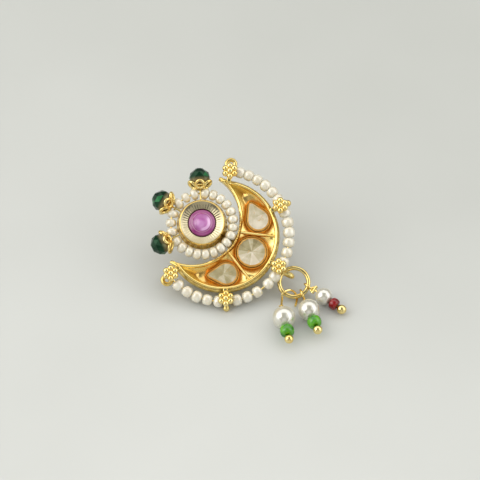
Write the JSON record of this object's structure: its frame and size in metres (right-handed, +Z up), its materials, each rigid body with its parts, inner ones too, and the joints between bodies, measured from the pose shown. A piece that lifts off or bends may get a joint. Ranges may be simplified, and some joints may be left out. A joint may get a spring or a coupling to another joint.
{
  "type": "nose pin",
  "caption": "Gold crescent nose pin set with pale stones, edged with seed pearls, with a pearl flower round a pink stone, capped green beads and small hanging drops.",
  "frame": {"origin": "on the table the pin lies on, under the middle of its box", "axes": "+Z up from the table, +X to the wearer's side where the drops lie, +Y to the back, where the post stands"},
  "size_m": [0.0322, 0.03, 0.0142],
  "materials": {
    "gold": "polished yellow gold plating",
    "bright_cut_gold": "bright-cut pale gold plating",
    "pale_stone": "polished, foil behind",
    "pink_glass": "polished dome",
    "seed_pearl": "satin pearl lustre",
    "drop_pearl": "glossy pearl lustre",
    "dark_green_glass": "faceted and polished",
    "leaf_green_glass": "polished",
    "red_glass": "polished"
  },
  "bodies": {
    "root": {"crescent_setting": "gold", "round_stone": "pale_stone", "pear_stone_upper": "pale_stone", "pear_stone_lower": "pale_stone", "flower_bezel": "bright_cut_gold", "pink_stone": "pink_glass", "flower_pearl_ring": "seed_pearl", "pearl_string_upper": "seed_pearl", "pearl_string_lower": "seed_pearl", "bead_cap_1": "gold", "bead_cap_2": "gold", "bead_cap_3": "gold", "green_bead_1": "dark_green_glass", "green_bead_2": "dark_green_glass", "green_bead_3": "dark_green_glass", "jump_ring": "gold", "drop_pin_a": "gold", "drop_pin_b": "gold", "drop_pin_c": "gold", "drop_pearl_a": "drop_pearl", "drop_pearl_b": "drop_pearl", "drop_pearl_c": "drop_pearl", "drop_bead_a": "leaf_green_glass", "drop_bead_b": "leaf_green_glass", "drop_bead_c": "red_glass", "nose_post": "gold"}
  },
  "joints": []
}
